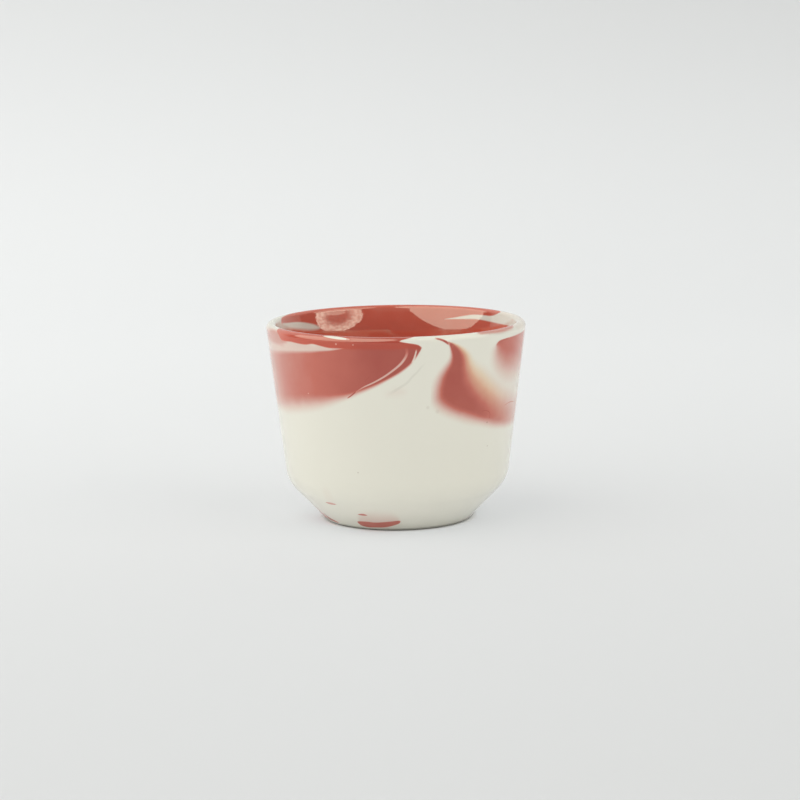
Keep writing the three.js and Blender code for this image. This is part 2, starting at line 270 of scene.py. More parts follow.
# Masses of red slip: outline, how dense the red is, by angle where it changes, and how warm its hue is
marks = {
    "inner_lining": {"density": 0.8, "warmth": 1, "outline": inner([
        (14, 52.4, 0.4), (0, 52, 0.4), (-30, 51.8, 0.4), (-60, 51.8, 0.5), (-80, 51.2, 0.6),
        (-100, 51.4, 0.5), (-125, 51.6, 0.4), (-180, 51.4, 0.4), (-232, 51.6, 0.4), (-255, 51.3, 0.4),
        (-275, 51, 0.4), (-292, 51.8, 0.4), (-305, 52.6, 0.3), (-320, 52.8, 0.3), (-332, 52.6, 0.4),
    ])},
    "left_swirl": {"density": [
        (-110, 0.4), (-76, 0.49), (-70, 0.58), (-62, 0.68), (-50, 0.755), (-40, 0.8), (-30, 0.84), (-8, 1),
    ], "outline": [
        (10.8, 50.9, 0.2), (10.2, 50.1, 0.2), (9.4, 49.3, 0.25), (8.4, 48.3, 0.3), (7, 47.3, 0.35),
        (6, 46.6, 0.4), (4.3, 45.7, 0.45), (1, 44.3, 0.5), (-4, 42.6, 0.55), (-10, 40.8, 0.7),
        (-16, 39.3, 0.9), (-21.5, 38.1, 1.2), (-27, 37.2, 1.7), (-34, 36.1, 2.4), (-42, 35.2, 2.9),
        (-51, 34.3, 3.1), (-62.5, 33.4, 3.2), (-80, 32.8, 2.8), (-110, 32.8, 2.4), (-138, 35.3, 2),
        (-160, 38.6, 1.2), (-138, 42.9, 1.6), (-110, 46, 1.8), (-80, 47, 1.8), (-70, 47.5, 1.5),
        (-59, 48.2, 1.3), (-51, 48.7, 1.1), (-44.5, 49.1, 0.9), (-38.5, 49.4, 0.8), (-33.5, 49.75, 0.6),
        (-28.5, 50.1, 0.45), (-24.5, 50.55, 0.35), (-15, 51.4, 0.3), (0, 51.9, 0.3), (8, 51.6, 0.25),
    ]},
    "hook_swirl": {"density": [
        (18, 0.98), (35, 0.96), (45, 0.88), (55, 0.74), (65, 0.58), (75, 0.42), (90, 0.35),
    ], "outline": [
        (21.5, 52.2, 0.2), (22.6, 51.6, 0.25), (23.9, 49.6, 0.5), (24.2, 47.9, 0.9), (23.4, 46.6, 1.3),
        (21, 44.5, 1.7), (19.3, 42.5, 2.1), (18.2, 40.2, 2.4), (17.8, 38, 2.5), (18.4, 36.4, 2.6),
        (20.3, 35.2, 2.7), (23.4, 34, 2.6), (28, 32.7, 2.5), (34.8, 31.3, 2.4), (42.8, 29.8, 2.1),
        (55, 28, 1.7), (75, 26.9, 1.6), (104, 28.2, 1.6), (124, 31, 1), (106, 32.3, 2), (84, 32.8, 4),
        (70, 33.2, 5), (64.7, 33.7, 5.2), (54.7, 35.4, 5.8), (47.9, 37.3, 6), (42.3, 39.4, 5.8),
        (37.5, 41.8, 5), (34.6, 44, 3.7), (32.8, 45.8, 2.7), (31.2, 48.4, 1.8), (28.1, 50.3, 1),
        (25.3, 51.4, 0.5), (23, 52, 0.25),
    ]},
    "right_patch": {"density": [
        (48, 0.9), (54, 0.84), (60, 0.82), (66, 0.77), (75, 0.66), (90, 0.6),
    ], "outline": [
        (48.7, 49.9, 0.35), (49.8, 50.55, 0.25), (53.5, 50.9, 0.25), (58.7, 51.1, 0.25), (64.5, 51.2, 0.25),
        (78, 51.4, 0.3), (88, 51.5, 0.4), (110, 50.2, 1), (130, 46.6, 1.2), (146, 44.1, 1), (130, 42.6, 1.6),
        (110, 41, 2.8), (85, 41.6, 5), (68.4, 42, 6), (61, 42.4, 6), (56.5, 43.3, 5.4), (53, 44.8, 4.8),
        (50.4, 46.5, 4), (49.2, 48.2, 2.8), (48.9, 49.4, 1),
    ]},
    "foot_pool": {"density": 0.8, "outline": [
        (-29.5, 2.35, 0.15), (-23, 2.75, 0.25), (-16.8, 2.65, 0.3), (-9.2, 2.9, 0.3), (-3.5, 3.2, 0.25),
        (1.5, 3.3, 0.15), (0.9, 2.5, 0.15), (-2.4, 1.85, 0.15), (-8.6, 1.15, 0.15), (-15.9, 0.9, 0.15),
        (-23.4, 0.85, 0.15), (-28, 1.25, 0.15),
    ]},
    "foot_streak": {"density": 0.8, "outline": [
        (-49.5, 0.75, 0.12), (-57, 1.7, 0.2), (-65, 2.6, 0.2), (-75, 3, 0.3), (-90, 2.7, 0.4),
        (-104, 1.5, 0.4), (-90, 1.3, 0.3), (-70, 1.1, 0.3), (-57, 0.75, 0.15),
    ]},
    "upper_dash": {"density": 0.5, "outline": [
        (-45.1, 7.75, 0.08), (-40.1, 8, 0.1), (-36.8, 7.65, 0.08), (-41.4, 7.3, 0.1),
    ]},
    "lower_dash": {"density": 0.72, "outline": [
        (-25.8, 5, 0.08), (-21.8, 5.35, 0.1), (-19.1, 4.9, 0.08), (-22.4, 4.7, 0.1),
    ]},
    "back_rim": {"density": 0.8, "warmth": 1, "outline": [
        (118, inside(53.45), 0.25), (123, inside(52.2), 0.25), (135, inside(51), 0.4), (160, inside(50), 0.4),
        (200, inside(50), 0.4), (225, inside(50), 0.4), (240, inside(51), 0.4), (257, inside(52), 0.3),
        (257, inside(52.4), 0.3), (253.5, inside(53.3), 0.3), (246, inside(53.55), 0.3), (232, 53.5, 0.4),
        (215, 52.6, 0.5), (180, 52.1, 0.6), (145, 52.6, 0.5), (130, 53.4, 0.4),
    ]},
    "left_rim": {"density": [(-66, 0.72), (-50, 0.86), (-25, 0.94), (-12, 1)], "warmth": 0.9, "outline": [
        (10.6, 51.1, 0.15), (9.8, 51.5, 0.15), (8.5, 51.8, 0.15), (5.1, 52.2, 0.15), (1.2, 52.75, 0.1),
        (4, 53.2, 0.12), (7, 53.55, 0.2), (8, inside(53.4), 0.3), (2, inside(52.6), 0.3),
        (-12, inside(52), 0.4), (-24, inside(51.4), 0.4), (-60, inside(51.4), 0.6), (-66, inside(53), 0.5),
        (-65.4, 53.2, 0.35), (-61.8, 52.1, 0.3), (-59.9, 50.95, 0.3), (-52, 51, 0.35), (-46, 50.8, 0.35),
        (-42, 50.8, 0.35), (-38.3, 51.2, 0.3), (-35, 50.95, 0.3), (-30, 50.5, 0.3), (-24, 50.5, 0.35),
        (-12, 50.6, 0.4), (0, 50.65, 0.4), (4.3, 50.8, 0.3), (8.4, 50.55, 0.25),
    ]},
}

# Where the cream body shows inside the red
windows = {
    "left_window": inner([
        (-84, 53, 0.3), (-97, 52.4, 0.3), (-102.5, 52.1, 0.3), (-112.5, 51.6, 0.3), (-121, 51.2, 0.3),
        (-128, 50.55, 0.4), (-134, 49.6, 0.5), (-137, 48.7, 0.5), (-131, 48.5, 0.8), (-122, 49.25, 0.9),
        (-113.5, 49.95, 0.9), (-100, 50.4, 0.8), (-86, 51, 0.6), (-78, 52, 0.5),
    ]),
    "right_window": inner([
        (154, 50, 0.15), (148, 50.65, 0.2), (142, 51.35, 0.25), (137, 51.8, 0.25), (131, 51.95, 0.25),
        (125, 52.05, 0.2), (120, 52.6, 0.2), (116, 53.3, 0.2), (100, 53.5, 0.3), (80, 53.3, 0.3),
        (78, 52, 0.4), (88, 51.1, 0.3), (101, 50.8, 0.25), (115, 50.5, 0.25), (124, 50.55, 0.25),
        (134, 50.7, 0.25), (141, 50.45, 0.25), (148, 50.2, 0.15),
    ]),
    # Painted highlight: a pale cream fleck on the lip where a lamp's reflection falls
    "lip_glint_fleck": [
        (-33.5, 53.45, 0.08), (-29.6, 53.57, 0.1), (-23.5, 53.4, 0.1), (-19.5, 53, 0.08), (-24.3, 52.92, 0.1),
        (-29.2, 53.12, 0.1),
    ],
}

# Thin lines: route of (angle, unrolled height), half width at its two ends, and how much it covers
cream_lines = [
    {"width": (0.32, 0.12), "cover": 0.58, "route": [
        (4.2, 51.1), (4.6, 49.85), (4.2, 48.85), (3.3, 47.9), (2, 46.9), (0.4, 46), (-5, 43.6), (-10, 41.9),
        (-15, 40.5), (-19, 39),
    ]},
    {"width": (0.16, 0.26), "cover": 0.78, "route": [
        (8.6, 50.7), (8.4, 49.9), (8.05, 49), (7.6, 48.1), (6.6, 46.7),
    ]},
]
red_lines = [
    {"width": (0.14, 0.2), "cover": 1.0, "route": [(-23, 37.3), (-20, 38.5), (-17.5, 39.8)]},
    {"width": (0.16, 0.12), "cover": 1.0, "route": [(-15, 41.6), (-12.5, 43), (-10, 44.4)]},
    {"width": (0.24, 0.3), "cover": 1.0, "route": [
        (16.4, 53.2), (17.4, 53.05), (18.8, 52.85), (20.6, 52.4), (23.4, 51.2),
    ]},
    {"width": (0.22, 0.22), "cover": 0.25, "route": [
        (38, 53.3), (41.6, 53.23), (46, 53.15), (51.3, 53.13), (62, 53.04),
    ]},
    {"width": (0.12, 0.16), "cover": 0.95, "route": [
        (40.3, 31.9), (44.4, 32.6), (48.4, 31.7), (48.7, 30.6), (47, 29.1),
    ]},
    {"width": (0.16, 0.16), "cover": 0.6, "route": [(57, 32.2), (62, 32.8), (68, 33), (76, 32.2)]},
    {"width": (0.4, 0.2), "cover": 0.9, "route": [
        (48.8, 49.3), (49.6, 50.1), (51.4, 50.5), (55, 50.75), (60, 50.95),
    ]},
]
# A faint crease, whose shade is painted as a thin grey line
crease_shade_lines = [
    {"width": (0.2, 0.35), "cover": 0.16, "route": [
        (12.9, 46.9), (10.9, 45.9), (8.8, 44.4), (6.8, 43.3), (4.8, 41.9), (1.8, 40.7), (-4, 38.6),
    ]},
]

# How far a thin line counts to each side, and the outer share of that over which it fades
line_reach = 1.2
line_fade = 0.3

# A line rises to its full cover over one of so many parts of its length at each end
line_end_parts = 5

# Distance of points that no line is near, in half widths
no_line = 10.0

# Distance of the mesh's points on both sides of a line
line_side = 0.4

# Density where no mark is near
plain_density = 0.8

# Angles further than this before a mark's first density count on past the seam
density_lead = 90.0

# The hook is peach where its border is softer than this, or right of its spine of (height, angle).
# It gets rosy again over the last stretch before an angle.
peach_softness = 3.0
hook_spine = [(33, 70), (37, 42), (40, 31), (44, 28), (48, 27.6), (52, 22.4)]
spine_fade = 2.5
peach_end = 66.0
peach_fade = 20.0

# The glaze is richest over the warm red of the lining and the lip, down to this height outside
rich_height = 51.9
rich_fade = 0.8

# The glaze is wiped off the foot up to this height, and the bare clay there is painted nearly black as the
# shade of the contact line under the foot
wipe_and_shade_height = 0.25
wipe_and_shade_fade = 0.1

# Specks in the glaze: angle, unrolled height, radius, and how much they cover
dark_specks = [
    (14, 35, 0.5, 0.12), (18.6, 33.8, 0.6, 0.1), (48.8, 22.7, 0.2, 0.4), (-19.5, 17.6, 0.18, 0.5),
    (47, 29.2, 0.25, 0.6),
]
# Pinholes in the glaze, whose glints are painted as pale specks
pinhole_glints = [
    (-26.2, 51.7, 0.26, 0.5), (-18.4, 51.7, 0.22, 0.4), (-43.8, 37.8, 0.18, 0.5),
]


def spline(points, closed, spans=12):
    """Points of a smooth curve through the given ones, without loops between them (a centripetal spline)."""
    points = np.array(points, float)
    if closed:
        padded = np.vstack([points[-1:], points, points[:2]])
    else:
        padded = np.vstack([2 * points[:1] - points[1:2], points, 2 * points[-1:] - points[-2:-1]])
    steps = np.sqrt(np.hypot(*np.diff(padded[:, :2], axis=0).T)) + tiny
    curve = []
    for number in range(1, len(padded) - 2):
        before, start, end, after = padded[number - 1:number + 3]
        step_in, step, step_out = steps[number - 1:number + 2]
        straight = (end - start) / step
        leave = step * ((start - before) / step_in - (end - before) / (step_in + step) + straight)
        arrive = step * (straight - (after - start) / (step + step_out) + (after - end) / step_out)
        for share in np.arange(spans) / spans:
            curve.append(
                (2 * share**3 - 3 * share**2 + 1) * start + (share**3 - 2 * share**2 + share) * leave
                + (3 * share**2 - 2 * share**3) * end + (share**3 - share**2) * arrive
            )
    if not closed:
        curve.append(points[-1])
    return np.array(curve)


def spaced(curve, closed):
    """A curve's points again, at even steps along it."""
    line = np.vstack([curve, curve[:1]]) if closed else curve
    lengths = np.hypot(np.diff(line[:, 0]), np.diff(line[:, 1]))
    way = np.concatenate([[0], np.cumsum(lengths)])
    count = max(fewest_steps, round(way[-1] / outline_step))
    places = np.arange(count + (0 if closed else 1)) / count * way[-1]
    return np.stack([np.interp(places, way, line[:, column]) for column in range(line.shape[1])], axis=-1)


def unrolled(points):
    """Points in millimetres on the unrolled skin, which is cut open at the seam, from angles and heights."""
    points = np.array(points, float)
    angles = np.where(points[:, 0] > seam_angle, points[:, 0] - 360, points[:, 0])
    points[:, 0] = np.radians(angles) * unrolled_radius
    points[:, 1] = run_of(points[:, 1])
    return points


def mark_ring(outline):
    return spaced(spline(unrolled(outline), True), True)


def lining_ring(outline):
    """The lining's edge all the way round, closed along the end of the path."""
    first = unrolled(outline)[:1]
    last = first - [[2 * math.pi * unrolled_radius, 0, 0]]
    edge = spaced(spline(np.vstack([unrolled(outline), last]), False), False)
    # It closes well past the seam and past the end of the path, so that no border lies there
    end = path_run[-1] + lining_reach
    left = edge[-1, 0] - lining_reach
    right = edge[0, 0] + lining_reach
    corners = [(left, edge[-1, 1], 1), (left, end, 1), (right, end, 1), (right, edge[0, 1], 1)]
    return np.vstack([edge, corners])


def line_route(line):
    return spaced(spline(unrolled(line["route"]), False), False)


def stretches(chain, closed=True):
    """Start and end of each stretch between neighbours in a chain."""
    pairs = list(zip(chain, np.roll(chain, -1, axis=0)))
    return pairs if closed else pairs[:-1]


def segment_distance(points, start, end):
    """Distance from points to a straight stretch, and how far along it the nearest place is."""
    along = end - start
    share = np.clip(((points - start) @ along) / max(along @ along, tiny * tiny), 0, 1)
    return np.hypot(*(points - start - share[:, None] * along).T), share


def in_ring(points, ring):
    """Whether points lie inside a ring, by counting crossings."""
    held = np.zeros(len(points), bool)
    for start, end in stretches(ring[:, :2]):
        spans = (start[1] > points[:, 1]) != (end[1] > points[:, 1])
        if not spans.any():
            continue
        across = start[0] + (points[:, 1] - start[1]) * (end[0] - start[0]) / (end[1] - start[1])
        held ^= spans & (points[:, 0] < across)
    return held


def ring_distance(points, ring):
    """Distance from points to a ring."""
    return np.min([segment_distance(points, *stretch)[0] for stretch in stretches(ring[:, :2])], axis=0)


def ring_level(points, ring):
    """How far points lie inside a ring, in units of the softness of its border, and that softness."""
    level = np.full(len(points), -level_limit)
    softness = np.zeros(len(points))
    reach = level_limit * ring[:, 2].max()
    low = ring[:, :2].min(axis=0) - reach
    high = ring[:, :2].max(axis=0) + reach
    near = np.all((points > low) & (points < high), axis=1)
    best = np.full(near.sum(), level_limit)
    soft = np.zeros(near.sum())
    for start, end in stretches(ring):
        distance, share = segment_distance(points[near], start[:2], end[:2])
        soft_here = start[2] + share * (end[2] - start[2])
        nearer = distance / soft_here < best
        best[nearer] = (distance / soft_here)[nearer]
        soft[nearer] = soft_here[nearer]
    level[near] = np.where(in_ring(points[near], ring), best, -best)
    softness[near] = soft
    return level, softness


def eased(level):
    """Share of the red at a level, from 0 outside a soft border to 1 inside it."""
    share = np.clip((level + 1) / 2, 0, 1)
    return share * share * (3 - 2 * share)


rings = {name: mark_ring(mark["outline"]) for name, mark in marks.items() if name != "inner_lining"}
rings["inner_lining"] = lining_ring(marks["inner_lining"]["outline"])
tint_rings = {name: mark_ring(tint["outline"]) for name, tint in tints.items()}
window_rings = {name: mark_ring(outline) for name, outline in windows.items()}
line_routes = [line_route(line) for line in cream_lines + red_lines + crease_shade_lines]


# The unrolled skin as a mesh

def row_columns(radius, fine):
    """Number of columns in a row of the grid, fewer where they would get too narrow."""
    columns = fine_columns if fine else plain_columns
    while columns > fewest_columns and 2 * math.pi * radius / columns < narrowest_column:
        columns //= 2
    return columns


def grid_points(chains):
    """Rows of points over the unrolled skin, without those too close to an outline or a thin line."""
    points = []
    for row, run in zip(path[1:-1], path_run[1:-1]):
        columns = row_columns(row[0], row[4])
        angles = seam_angle - 360 + np.arange(columns + 1) * 360 / columns
        points.append(np.stack([np.radians(angles) * unrolled_radius, np.full(columns + 1, run)], axis=-1))
    points = np.vstack(points)
    on_edge = np.abs(points[:, 0] - points[:, 0].mean()) > np.ptp(points[:, 0]) / 2 - tiny
    keep = np.ones(len(points), bool)
    for chain, closed, clearance in chains:
        low = chain.min(axis=0) - box_margin
        high = chain.max(axis=0) + box_margin
        near = np.all((points > low) & (points < high), axis=1)
        for stretch in stretches(chain, closed):
            keep[near] &= segment_distance(points[near], *stretch)[0] > clearance
    return points[keep | on_edge]


def side_points(chain, distance):
    """Points on both sides of a chain of points."""
    along = np.gradient(chain, axis=0)
    across = np.stack([-along[:, 1], along[:, 0]], axis=-1) / np.hypot(*along.T)[:, None]
    return np.vstack([chain + distance * across, chain - distance * across])


def inset_points(ring):
    """Points close to a ring on both sides of it, so that thin tips and notches have a middle too."""
    points = side_points(ring[:, :2], inset)
    return points[ring_distance(points, ring) > inset_share * inset]


def unrolled_mesh():
    """Points (across, run) and triangles of the unrolled skin, with every outline as a chain of edges."""
    chains = []
    for name, ring in {**rings, **window_rings}.items():
        whole = name != "inner_lining"
        chains.append((ring[:, :2] if whole else ring[:-lining_corners, :2], whole, outline_clearance))
    chains += [(route[:, :2], False, line_side) for route in line_routes]
    points = [grid_points(chains)]
    edges = []
    count = len(points[0])
    for chain, closed, _ in chains:
        numbers = np.arange(count, count + len(chain))
        edges += [(int(start), int(end)) for start, end in stretches(numbers, closed)]
        points.append(chain)
        count += len(chain)
    whole_rings = [ring for name, ring in rings.items() if name != "inner_lining"]
    points += [inset_points(ring) for ring in whole_rings + list(window_rings.values())]
    points += [side_points(route[:, :2], line_side) for route in line_routes]
    result = delaunay_2d_cdt([Vector(point) for point in np.vstack(points)], edges, [], 0, join_distance)
    flat = np.array([tuple(point) for point in result[0]])
    triangles = np.array([tuple(face) for face in result[2]])
    return flat, triangles


def welded(flat, triangles):
    """The triangles with the two cut edges of the unrolled skin joined."""
    angle = np.degrees(flat[:, 0] / unrolled_radius)
    far = angle < seam_angle - 360 + seam_slack
    near = np.flatnonzero(angle > seam_angle - seam_slack)
    order = near[np.argsort(flat[near, 1])]
    place = np.searchsorted(flat[order, 1], flat[far, 1] - weld_slack)
    target = np.arange(len(flat))
    target[far] = order[np.minimum(place, len(order) - 1)]
    return target[triangles]


def triangle_labels(flat, triangles):
    """The piece that each triangle of the unrolled skin belongs to."""
    middles = flat[triangles].mean(axis=1)
    labels = np.full(len(triangles), "cup_body", dtype=object)
    for name, ring in rings.items():
        labels[in_ring(middles, ring)] = "left_swirl" if name == "left_rim" else name
    for ring in window_rings.values():
        labels[in_ring(middles, ring)] = "cup_body"
    return labels


def line_field(points, lines):
    """Distance to the nearest thin line in units of its half width, and how much it covers there."""
    field = np.full(len(points), no_line)
    cover = np.zeros(len(points))
    best = np.full(len(points), 2 * line_reach)
    for line in lines:
        route = line_route(line)
        count = len(route) - 1
        for number, (start, end) in enumerate(stretches(route, False)):
            distance, share = segment_distance(points, start, end)
            nearer = distance < best
            place = (number + share) / count
            width = line["width"][0] + place * (line["width"][1] - line["width"][0])
            ends = np.clip(line_end_parts * np.minimum(place, 1 - place), 0, 1)
            fade = np.clip((line_reach - distance) / (line_fade * line_reach), 0, 1)
            best[nearer] = distance[nearer]
            field[nearer] = (distance / width)[nearer]
            cover[nearer] = (line["cover"] * ends * fade)[nearer]
    return field, cover


def mark_density(mark, angle):
    """How dense a mark's red is at angles, which count on past the seam."""
    density = mark["density"]
    if isinstance(density, list):
        places, amounts = zip(*density)
        turned = np.where(angle < places[0] - density_lead, angle + 360, angle)
        return np.interp(turned, places, amounts)
    return density


def hook_peach(angle, height, soft):
    """Share of the peach hue in the hook."""
    turned = angle % 360
    off_spine = (turned - np.interp(height, *zip(*hook_spine))) / spine_fade
    peach = np.clip(np.maximum(soft - peach_softness, off_spine), 0, 1)
    return peach * np.clip((peach_end - turned) / peach_fade, 0, 1)


def bare_clay(points):
    """Where the foot has no glaze, which is painted dark as the shade where the foot meets the floor."""
    radius, height = (np.interp(points[:, 1], path_run, path[:, column]) for column in range(2))
    foot = (points[:, 1] < crest_run) & (radius > foot_radius - ring_width - ring_round)
    return np.where(foot, np.clip((wipe_and_shade_height - height) / wipe_and_shade_fade, 0, 1), 0)


def marbling(points):
    """Values of the marbling at points of the unrolled skin."""
    stain = np.zeros(len(points))
    for name, tint in tints.items():
        stain = np.maximum(stain, tint["density"] * eased(ring_level(points, tint_rings[name])[0]))
    level = np.full(len(points), -level_limit)
    density = np.full(len(points), plain_density)
    warmth = np.zeros(len(points))
    peach = np.zeros(len(points))
    angle = np.degrees(points[:, 0] / unrolled_radius)
    height = np.interp(points[:, 1], path_run, unrolled_height)
    for name, mark in marks.items():
        here, soft = ring_level(points, rings[name])
        share = eased(here)
        density += share * (mark_density(mark, angle) - density)
        warmth += share * (mark.get("warmth", 0) - warmth)
        if name == "hook_swirl":
            peach = hook_peach(angle, height, soft)
        else:
            peach *= np.clip(level - here, 0, 1)
        level = np.maximum(level, here)
    for ring in window_rings.values():
        level = np.minimum(level, -ring_level(points, ring)[0])
    gloss = warmth * np.clip((height - rich_height) / rich_fade, 0, 1)
    # No rich glaze under the fleck of painted highlight on the lip
    gloss *= 1 - eased(ring_level(points, window_rings["lip_glint_fleck"])[0])
    values = {
        "slip_gloss": gloss,
        "slip_level": level,
        "slip_density": density,
        "slip_warmth": warmth,
        "slip_peach": peach,
        "slip_stain": stain,
    }
    for name, lines in (("cream", cream_lines), ("red", red_lines), ("grey", crease_shade_lines)):
        values[f"{name}_line"], values[f"{name}_cover"] = line_field(points, lines)
    values["bare_clay"] = bare_clay(points)
    return values


# Meshes of the pieces

def border_edges(triangles):
    """Directed edges that only one triangle of a set has."""
    edges = np.vstack([triangles[:, [0, 1]], triangles[:, [1, 2]], triangles[:, [2, 0]]])
    size = int(edges.max()) + 1
    codes = edges[:, 0] * size + edges[:, 1]
    back = edges[:, 1] * size + edges[:, 0]
    return edges[~np.isin(codes, back)]


def add_object(name, data):
    """New object in the scene."""
    added = bpy.data.objects.new(name, data)
    bpy.context.scene.collection.objects.link(added)
    return added


def add_piece(name, faces, points, normals, values, smooth_faces):
    """Mesh object from faces of point numbers, with the skin's normals on its first faces."""
    used, numbers = np.unique(np.concatenate([np.ravel(face) for face in faces]), return_inverse=True)
    mesh = bpy.data.meshes.new(name)
    shape = []
    start = 0
    for face in faces:
        shape += numbers[start:start + face.size].reshape(face.shape).tolist()
        start += face.size
    mesh.from_pydata((points[used] * MM).tolist(), [], shape, shade_flat=False)
    for key, value in values.items():
        layer = mesh.attributes.new(key, "FLOAT", "POINT")
        layer.data.foreach_set("value", value[used].astype(np.float32))
    corner_normals = normals[used][numbers]
    corner_normals[3 * smooth_faces:] = 0
    mesh.normals_split_custom_set(corner_normals.tolist())
    return add_object(name, mesh)


def build_pieces():
    """One closed mesh per node: the body with its seats, and each mass of red slip that fills one."""
    flat, triangles = unrolled_mesh()
    labels = triangle_labels(flat, triangles)
    values = marbling(flat)
    triangles = welded(flat, triangles)
    first = np.flatnonzero(flat[:, 1] < path_run[1] + tiny)
    last = np.flatnonzero(flat[:, 1] > path_run[-2] - tiny)
    first = first[np.argsort(flat[first, 0])][1:]
    last = last[np.argsort(flat[last, 0])][1:]
    # The two ends of the path close in a fan around the axis
    count = len(flat)
    flat = np.vstack([flat, [(0, path_run[0]), (0, path_run[-1])]])
    values = {key: np.append(value, value[[first[0], last[0]]]) for key, value in values.items()}
    under = np.stack([np.roll(first, -1), first, np.full(len(first), count)], axis=-1)
    floor = np.stack([last, np.roll(last, -1), np.full(len(last), count + 1)], axis=-1)
    triangles = np.vstack([triangles, under, floor])
    labels = np.concatenate([labels, ["cup_body"] * len(under), ["inner_lining"] * len(floor)])

    angle = np.degrees(flat[:, 0] / unrolled_radius)
    skin_points, normals = skin(angle, flat[:, 1])
    seat_points, _ = skin(angle, flat[:, 1], slip_depth)
    total = len(flat)
    points = np.vstack([skin_points, seat_points])
    normals = np.vstack([normals, normals])
    values = {key: np.concatenate([value, value]) for key, value in values.items()}

    pieces = {}
    for name in sorted(set(labels) - {"cup_body"}):
        top = triangles[labels == name]
        edges = border_edges(top)
        walls = np.stack([edges[:, 1], edges[:, 0], edges[:, 0] + total, edges[:, 1] + total], axis=-1)
        faces = [top, top[:, ::-1] + total, walls]
        pieces[name] = add_piece(f"{name}_glazed", faces, points, normals, values, len(top))
    clay = triangles[labels == "cup_body"]
    seats = triangles[labels != "cup_body"]
    edges = border_edges(seats)
    walls = np.stack([edges, edges[:, ::-1] + total], axis=1).reshape(len(edges), 4)
    faces = [clay, seats + total, walls]
    pieces["cup_body"] = add_piece("cup_body_glazed", faces, points, normals, values, len(clay))
    return pieces


# Finish

cream = (0.675, 0.67, 0.612, 1)
red = (0.46, 0.122, 0.095, 1)
deep_red = (0.335, 0.066, 0.053, 1)
# Bare clay of the foot, painted nearly black as the contact shade under it
bare_clay_shade_colour = (0.05, 0.045, 0.032, 1)
dark_speck_colour = (0.22, 0.13, 0.10, 1)
# Painted highlight: colour of the glints of pinholes
pinhole_glint_colour = (0.75, 0.55, 0.48, 1)
crease_shade_colour = (0.30, 0.30, 0.26, 1)
glaze_tint = (1.0, 1.0, 0.86, 1)

# Colours by the amount of red slip: on plain borders, on the hook's peach side, and on the lining and the lip
rosy_ramp = [(0.0, cream), (0.4, (0.585, 0.39, 0.35, 1)), (0.8, red), (1.0, deep_red)]
peach_ramp = [
    (0.0, cream), (0.2, (0.66, 0.545, 0.42, 1)), (0.45, (0.60, 0.345, 0.24, 1)), (0.8, red), (1.0, deep_red),
]
warm_ramp = [(0.0, cream), (0.8, (0.51, 0.088, 0.054, 1)), (1.0, (0.385, 0.056, 0.037, 1))]

# Index of refraction of the glaze, over the cream clay and over the warm red of the lip and the lining
clear_ior = 1.55
warm_ior = 2.05
lining_slot = "red_lining"

# Roughness of the glaze, least and the most that is added, and what bare clay adds
least_roughness = 0.02
roughness_spread = 0.05
bare_roughness = 0.6

# Noise in the finish: grains per metre and detail, and its share in border, colour and skin
ripple_noise = (260, 2)
mottle_noise = (130, 4)
gloss_noise = (300, 2)
bump_noise = (150, 1)
ripple_size = 0.16
mottle_size = 0.14
bump_height = 0.04

# Where thin lines and specks are full and where they end, in their own half widths and radii
line_core = 0.5
line_rim = 1.6
speck_core = 0.4
speck_rim = 1.3


class Nodes:
    """The nodes of a material, a lamp or the world, with short calls for the kinds used here."""

    def __init__(self, owner):
        owner.use_nodes = True
        self.tree = owner.node_tree

    def named(self, name):
        return self.tree.nodes[name]

    def add(self, kind, **settings):
        node = self.tree.nodes.new(f"ShaderNode{kind}")
        for key, value in settings.items():
            setattr(node, key, value)
        return node

    def put(self, value, target):
        if isinstance(value, bpy.types.NodeSocket):
            self.tree.links.new(value, target)
        else:
            target.default_value = value

    def fill(self, node, sockets):
        """Values or links into the sockets of a node, and its outputs."""
        for socket, value in sockets.items():
            self.put(value, node.inputs[socket])
        return node.outputs

    def value(self, name):
        return self.add("Attribute", attribute_name=name).outputs["Fac"]

    def math(self, operation, *values):
        return self.fill(self.add("Math", operation=operation), dict(enumerate(values)))[0]

    def vector(self, operation, output, *values):
        return self.fill(self.add("VectorMath", operation=operation), dict(enumerate(values)))[output]

    def smooth(self, value, low, high, out_low=0.0, out_high=1.0):
        node = self.add("MapRange", interpolation_type="SMOOTHSTEP")
        sockets = {"Value": value, "From Min": low, "From Max": high, "To Min": out_low, "To Max": out_high}
        return self.fill(node, sockets)[0]

    def place(self):
        return self.add("TexCoord").outputs["Object"]

    def noise(self, scale, detail, place=None):
        node = self.add("TexNoise")
        place = self.place() if place is None else place
        return self.fill(node, {"Scale": scale, "Detail": detail, "Vector": place})["Fac"]

    def ramp(self, value, stops):
        node = self.add("ValToRGB")
        elements = node.color_ramp.elements
        elements[0].position, elements[0].color = stops[0]
        elements[1].position, elements[1].color = stops[-1]
        for place, colour in stops[1:-1]:
            elements.new(place).color = colour
        self.put(value, node.inputs["Fac"])
        return node.outputs["Color"]

    def mix(self, share, first, second):
        node = self.add("Mix", data_type="RGBA")
        # This node's sockets for colours are inputs 6 and 7 and output 2
        return self.fill(node, {0: share, 6: first, 7: second})[2]


def line_mask(nodes, name):
    """Where a thin line covers the surface."""
    band = nodes.smooth(nodes.value(f"{name}_line"), line_core, line_rim, 1.0, 0.0)
    return nodes.math("MULTIPLY", band, nodes.value(f"{name}_cover"))


def speck_mask(nodes, specks):
    """Where one of the specks is."""
    mask = 0.0
    place = nodes.place()
    for angle, height, radius, cover in specks:
        centre = skin(np.array(angle), run_of(height))[0] * MM
        distance = nodes.vector("DISTANCE", "Value", place, tuple(centre))
        dot = nodes.smooth(distance, speck_core * radius * MM, speck_rim * radius * MM, cover, 0.0)
        mask = nodes.math("MAXIMUM", mask, dot)
    return mask


